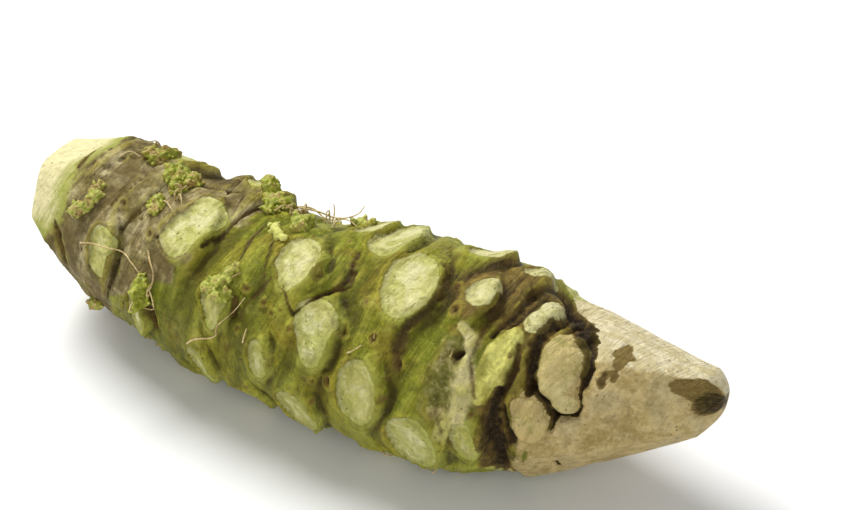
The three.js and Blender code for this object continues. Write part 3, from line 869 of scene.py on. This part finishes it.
# Paler tips, with painted shade in the clefts and on the low parts next to the skin.
colour = layered(
    tree, colour,
    (tip_read, 0.03, 0.13, 0.6, tip_colour),
    (tip_read, -0.02, -0.16, 0.85, (70, 62, 14)),
    (reading(tree, "lift"), 0.9, 0.1, 0.6, (84, 72, 26)))
colour = made_uneven(tree, colour, here, 0.8, 0.82, 1.15)
tree.links.new(colour, shader.inputs["Base Color"])
bump = add_node(tree, "Bump", {"Strength": 0.3, "Distance": 0.0002, "Height": fine})
tree.links.new(bump.outputs["Normal"], shader.inputs["Normal"])
tree.links.new(mask_of(tree, fine, 0.3, 0.7, 0.45, 0.65), shader.inputs["Roughness"])
shader.inputs["Specular IOR Level"].default_value = 0.35


def select_only(thing):
    """Selects one piece alone and makes it the active one."""
    bpy.ops.object.select_all(action="DESELECT")
    thing.select_set(True)
    bpy.context.view_layer.objects.active = thing


chance = random.Random(21)
for name, looks in bud_looks.items():
    wart_size, wart_count, scale_size, scale_count, brown_share, pale_share, evening = looks
    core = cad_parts[name]
    core.data.calc_loop_triangles()
    corners = [core.matrix_world @ vertex.co for vertex in core.data.vertices]
    middle = sum(corners, Vector()) / len(corners)

    # The core's faces that look outwards carry the warts and scales. Its underside sinks into the skin.
    outer = []
    for triangle in core.data.loop_triangles:
        a, b, c = (corners[i] for i in triangle.vertices)
        outward = (a + b + c) / 3 - axis_at((a.x + b.x + c.x) / 3)
        facing = (b - a).cross(c - a)
        if facing.length > 0 and facing.normalized().dot(outward.normalized()) > -0.3:
            outer.append((facing.length, a, b, c, facing.normalized()))
    areas = [entry[0] for entry in outer]
    places = []
    for corner in corners:
        sunk = -1.3 if (corner - middle).dot(middle - axis_at(middle.x)) < 0 else -0.1
        places.append(on_fine_skin(corner, sunk * MM))
    faces = [tuple(triangle.vertices) for triangle in core.data.loop_triangles]
    for number, (_, a, b, c, facing) in enumerate(chance.choices(outer, areas, k=wart_count + scale_count)):
        is_pointed = number >= wart_count
        s, t = sorted((chance.random(), chance.random()))
        size = (scale_size if is_pointed else wart_size) * chance.triangular(0.5, 1.5, 0.9) * MM
        spot_on = on_fine_skin(a * s + b * (t - s) + c * (1 - t), -wart_depth * MM)
        lean = (facing + Vector([chance.uniform(-0.7, 0.7) for _ in range(3)])).normalized()
        turn = lean.to_track_quat("Z", "Y")
        long = chance.uniform(1.5, 2.3) if is_pointed else chance.uniform(0.9, 1.5)
        first = len(places)
        for ball_place in ball_places:
            narrowed = 1 - 0.75 * max(ball_place.z, 0) * is_pointed
            shaped = Vector((ball_place.x * narrowed, ball_place.y * narrowed, ball_place.z * long))
            places.append(spot_on + turn @ (shaped * size))
        faces.extend(tuple(first + i for i in face) for face in ball_faces)
    piece_mesh = bpy.data.meshes.new("wasabi_" + name)
    piece_mesh.from_pydata([p / MM for p in places], [], faces)
    bud = bpy.data.objects.new("wasabi_" + name, piece_mesh)
    bpy.context.scene.collection.objects.link(bud)
    select_only(bud)
    melt = bud.modifiers.new("melt", "REMESH")
    melt.mode = "VOXEL"
    melt.voxel_size = bud_grain
    bpy.ops.object.modifier_apply(modifier="melt")

    # Specks too thin to melt in fall off: only the largest lump is kept.
    bpy.ops.object.mode_set(mode="EDIT")
    bpy.ops.mesh.select_all(action="SELECT")
    bpy.ops.mesh.separate(type="LOOSE")
    bpy.ops.object.mode_set(mode="OBJECT")
    lumps_by_size = sorted(bpy.context.selected_objects, key=lambda lump: len(lump.data.vertices))
    bud = lumps_by_size.pop()
    for speck in lumps_by_size:
        bpy.data.objects.remove(speck)
    bud.name = "wasabi_" + name
    bpy.context.view_layer.objects.active = bud
    even = bud.modifiers.new("even", "SMOOTH")
    even.iterations = evening
    bpy.ops.object.modifier_apply(modifier="even")
    bpy.ops.object.shade_smooth()

    # Tips stand out of the smoothed heap and clefts lie under it. The clefts, and the low parts next to the
    # skin, get painted shade.
    bud_count = len(bud.data.vertices)
    fine_place = read_all(bud.data.vertices, "co", 3)
    normals = read_all(bud.data.vertices, "normal", 3)
    bumps = 0.16 * field(fine_place, 0.8, 2) + 0.2 * field(fine_place + 50, 2.4, 1)
    fine_place += normals * bumps[:, None]
    edges = read_all(bud.data.edges, "vertices", 2, int)
    valence = np.bincount(edges.ravel(), minlength=bud_count)[:, None]
    smoothed = fine_place.copy()
    for _ in range(smoothing_rounds):
        total = np.zeros_like(smoothed)
        np.add.at(total, edges[:, 0], smoothed[edges[:, 1]])
        np.add.at(total, edges[:, 1], smoothed[edges[:, 0]])
        smoothed = 0.5 * smoothed + 0.5 * total / np.maximum(valence, 1)
    tip = ((fine_place - smoothed) * normals).sum(axis=1)
    axis_here = np.stack([fine_place[:, 0], axis_y(fine_place[:, 0]), axis_z(fine_place[:, 0])], axis=1)
    from_axis = np.linalg.norm(fine_place - axis_here, axis=1)
    lift = from_axis - np.percentile(from_axis, 25)
    brown, pale = np.full(bud_count, brown_share), np.full(bud_count, pale_share)
    store(bud, tip=tip, lift=lift, brown=brown, pale=pale)
    bud.data.vertices.foreach_set("co", (fine_place * MM).ravel())
    bud.data.update()
    bud.data.materials.append(bud_material)
    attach(bud, "root")
    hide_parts(name)


# ---------------------------------------------------------------- the rootlets
# Dry, thread-like rootlets that were left on when the root was washed. Each is a bent, tapering thread
# that lies on the skin or stands just off it. Route points: place along, angle round, height, in mm.
rootlet_routes = [
    ((-58.3, 21, 0.2), (-54.8, 27, 0.9), (-49.6, 32, 0.5), (-47.2, 33, 0.7), (-44.2, 31, 0.5),
     (-40.8, 26, 0.8), (-39.9, 20, 0.2)),
    ((-40.8, 42, 0.2), (-39.4, 37, 0.9), (-37.8, 32, 1.0), (-37.6, 26, 1.0), (-38.6, 20, 0.8),
     (-40.2, 21, 0.3)),
    ((-39.4, 20, 0.2), (-38.0, 20, 0.8), (-36.8, 14, 1.3), (-38.1, 7, 1.0), (-39.7, 7, 0.2)),
    ((-28.7, -3, 0.1), (-26.5, 4, 0.4), (-21.5, 12, 0.5), (-20.2, 21, 0.9), (-18.3, 30, 1.2),
     (-16.4, 40, 0.3)),
    ((-43.1, 84, 0.2), (-41.4, 85, 1.6), (-39.3, 83, 1.6), (-38.5, 78, 0.3)),
    ((-43.1, 74, 0.2), (-41.0, 73, 0.7), (-39.1, 70, 0.8), (-37.8, 68, 0.2)),
    ((-45.7, 68, 0.1), (-44.7, 70, 0.6), (-43.1, 70, 0.2)),
    ((-21.0, 46, 0.1), (-19.6, 49, 0.8), (-18.8, 52, 0.2)),
    ((-20.3, 104, 0.4), (-19.0, 98, 1.8), (-18.0, 101, 2.6), (-17.2, 106, 1.6), (-16.3, 112, 0.6)),
    ((-20.1, 125, 0.6), (-15.5, 124, 1.6), (-11.1, 122, 0.9), (-7.8, 126, 1.4), (-4.0, 118, 0.3)),
    ((-18.0, 118, 0.8), (-13.0, 118, 1.7), (-9.0, 121, 1.6), (-5.5, 125, 2.6), (-4.8, 128, 4.4)),
    ((-10.7, 126, 0.4), (-11.0, 128, 2.4), (-11.6, 128, 4.0)),
    ((-14.9, 15, 0.1), (-14.5, 19, 0.6), (-14.4, 24, 0.3)),
    ((27.4, 42, 0.1), (27.7, 43, 1.0), (28.0, 45, 1.8)),
    ((12.4, 41, 0.1), (12.6, 42, 0.7), (12.9, 43, 1.1)),
    ((8.1, 30, 0.2), (9.2, 32, 0.7), (10.6, 36, 0.2)),
    ((-58.0, 92, 0.1), (-56.2, 96, 0.9), (-54.0, 99, 0.3)),
    ((-62.3, 40, 0.4), (-61.8, 36, 1.5), (-60.4, 33, 0.6)),
]
# More lie at the back and low on the front, out of the way of the belly.
scattered_rootlets = 16
chance = random.Random(5)
for _ in range(scattered_rootlets):
    start_x = chance.uniform(-58, 30)
    start_angle = chance.choice((chance.uniform(140, 232), chance.uniform(306, 334)))
    turn_x, turn_angle = chance.uniform(-3, 3), chance.uniform(-9, 9)
    rootlet_routes.append((
        (start_x, start_angle, 0.1),
        (start_x + 0.5 * turn_x, start_angle + 0.8 * turn_angle, 0.6),
        (start_x + turn_x, start_angle + turn_angle, 0.3),
    ))

# Dry fibres curl out of the buds: place along, angle round and how many.
for tangle_x, tangle_angle, fibre_count in ((-15.4, 104, 9), (-9.5, 112, 4), (-41.0, 82, 4), (-39.8, 15, 3)):
    for _ in range(fibre_count):
        start_x = tangle_x + chance.uniform(-2.2, 2.2)
        start_angle = tangle_angle + chance.uniform(-7, 7)
        step_x, step_angle = chance.uniform(-1.4, 1.8), chance.uniform(-5, 5)
        rootlet_routes.append((
            (start_x, start_angle, 0.2),
            (start_x + 0.6 * step_x, start_angle + 0.3 * step_angle, chance.uniform(1.4, 2.4)),
            (start_x + 1.3 * step_x, start_angle + 1.1 * step_angle, chance.uniform(1.6, 3.0)),
            (start_x + 1.4 * step_x, start_angle + 1.9 * step_angle, chance.uniform(0.4, 1.8)),
        ))

thread_radius = 0.19
threads_curve = bpy.data.curves.new("wasabi_rootlets", "CURVE")
threads_curve.dimensions = "3D"
threads_curve.bevel_depth = thread_radius * MM
threads_curve.bevel_resolution = 2
threads_curve.resolution_u = 8
threads_curve.use_fill_caps = True
for route in rootlet_routes:
    thread = threads_curve.splines.new("BEZIER")
    thread.bezier_points.add(len(route) - 1)
    for number, (point, (at_x, at_angle, lifted)) in enumerate(zip(thread.bezier_points, route)):
        axis = axis_at(at_x * MM)
        away = Vector((0, -math.cos(math.radians(at_angle)), math.sin(math.radians(at_angle))))
        point.co = fine_skin.ray_cast(axis, away)[0] + away * lifted * MM
        point.handle_left_type = "AUTO"
        point.handle_right_type = "AUTO"
        point.radius = 1.15 - 0.65 * number / (len(route) - 1)
rootlets = bpy.data.objects.new("wasabi_rootlets", threads_curve)
bpy.context.scene.collection.objects.link(rootlets)
select_only(rootlets)
bpy.ops.object.convert(target="MESH")
rootlets = bpy.context.object
bpy.ops.object.shade_smooth()

rootlet_material, tree, shader = new_material("rootlet")
here = add_node(tree, "TexCoord").outputs["Object"]
fine = noise_of(tree, here, 0.6, 3)
patchy = noise_of(tree, here, 5, 2)
colour = turning(tree, fine, 0.36, 0.62, (172, 148, 90), (214, 196, 142))
colour = layered(tree, colour, (patchy, 0.45, 0.62, 0.6, (150, 124, 72)))
colour = made_uneven(tree, colour, here, 1.5, 0.85, 1.12)
tree.links.new(colour, shader.inputs["Base Color"])
tree.links.new(mask_of(tree, fine, 0.3, 0.7, 0.6, 0.8), shader.inputs["Roughness"])
rootlets.data.materials.append(rootlet_material)
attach(rootlets, "root")


# ---------------------------------------------------------------- the table and the light
# The root lies on a plain pale table in an evenly lit white room. A broad soft light stands high on the
# left and behind, and a larger, weaker one in front.
bpy.ops.object.select_all(action="DESELECT")
bpy.ops.mesh.primitive_plane_add(size=6, location=(0, 0, 0))
table = bpy.context.object
table.name = "table"
table_material, tree, shader = new_material("table")
shader.inputs["Base Color"].default_value = (0.82, 0.82, 0.81, 1)
shader.inputs["Roughness"].default_value = 0.7
table.data.materials.append(table_material)

world = bpy.data.worlds.new("studio")
world.use_nodes = True
world.node_tree.nodes["Background"].inputs["Color"].default_value = (1, 1, 1, 1)
world.node_tree.nodes["Background"].inputs["Strength"].default_value = 0.35
bpy.context.scene.world = world

for name, spot_at, size, power in (
        ("key", (-0.45, 0.25, 0.75), 0.5, 10.0),
        ("fill", (0.3, -0.8, 0.5), 0.9, 4.1)):
    light_data = bpy.data.lights.new(name, "AREA")
    light_data.energy = power
    light_data.size = size
    light = bpy.data.objects.new(name, light_data)
    light.location = spot_at
    light.rotation_euler = Vector(spot_at).to_track_quat("Z", "Y").to_euler()
    bpy.context.scene.collection.objects.link(light)

bpy.context.scene.view_settings.view_transform = "Standard"
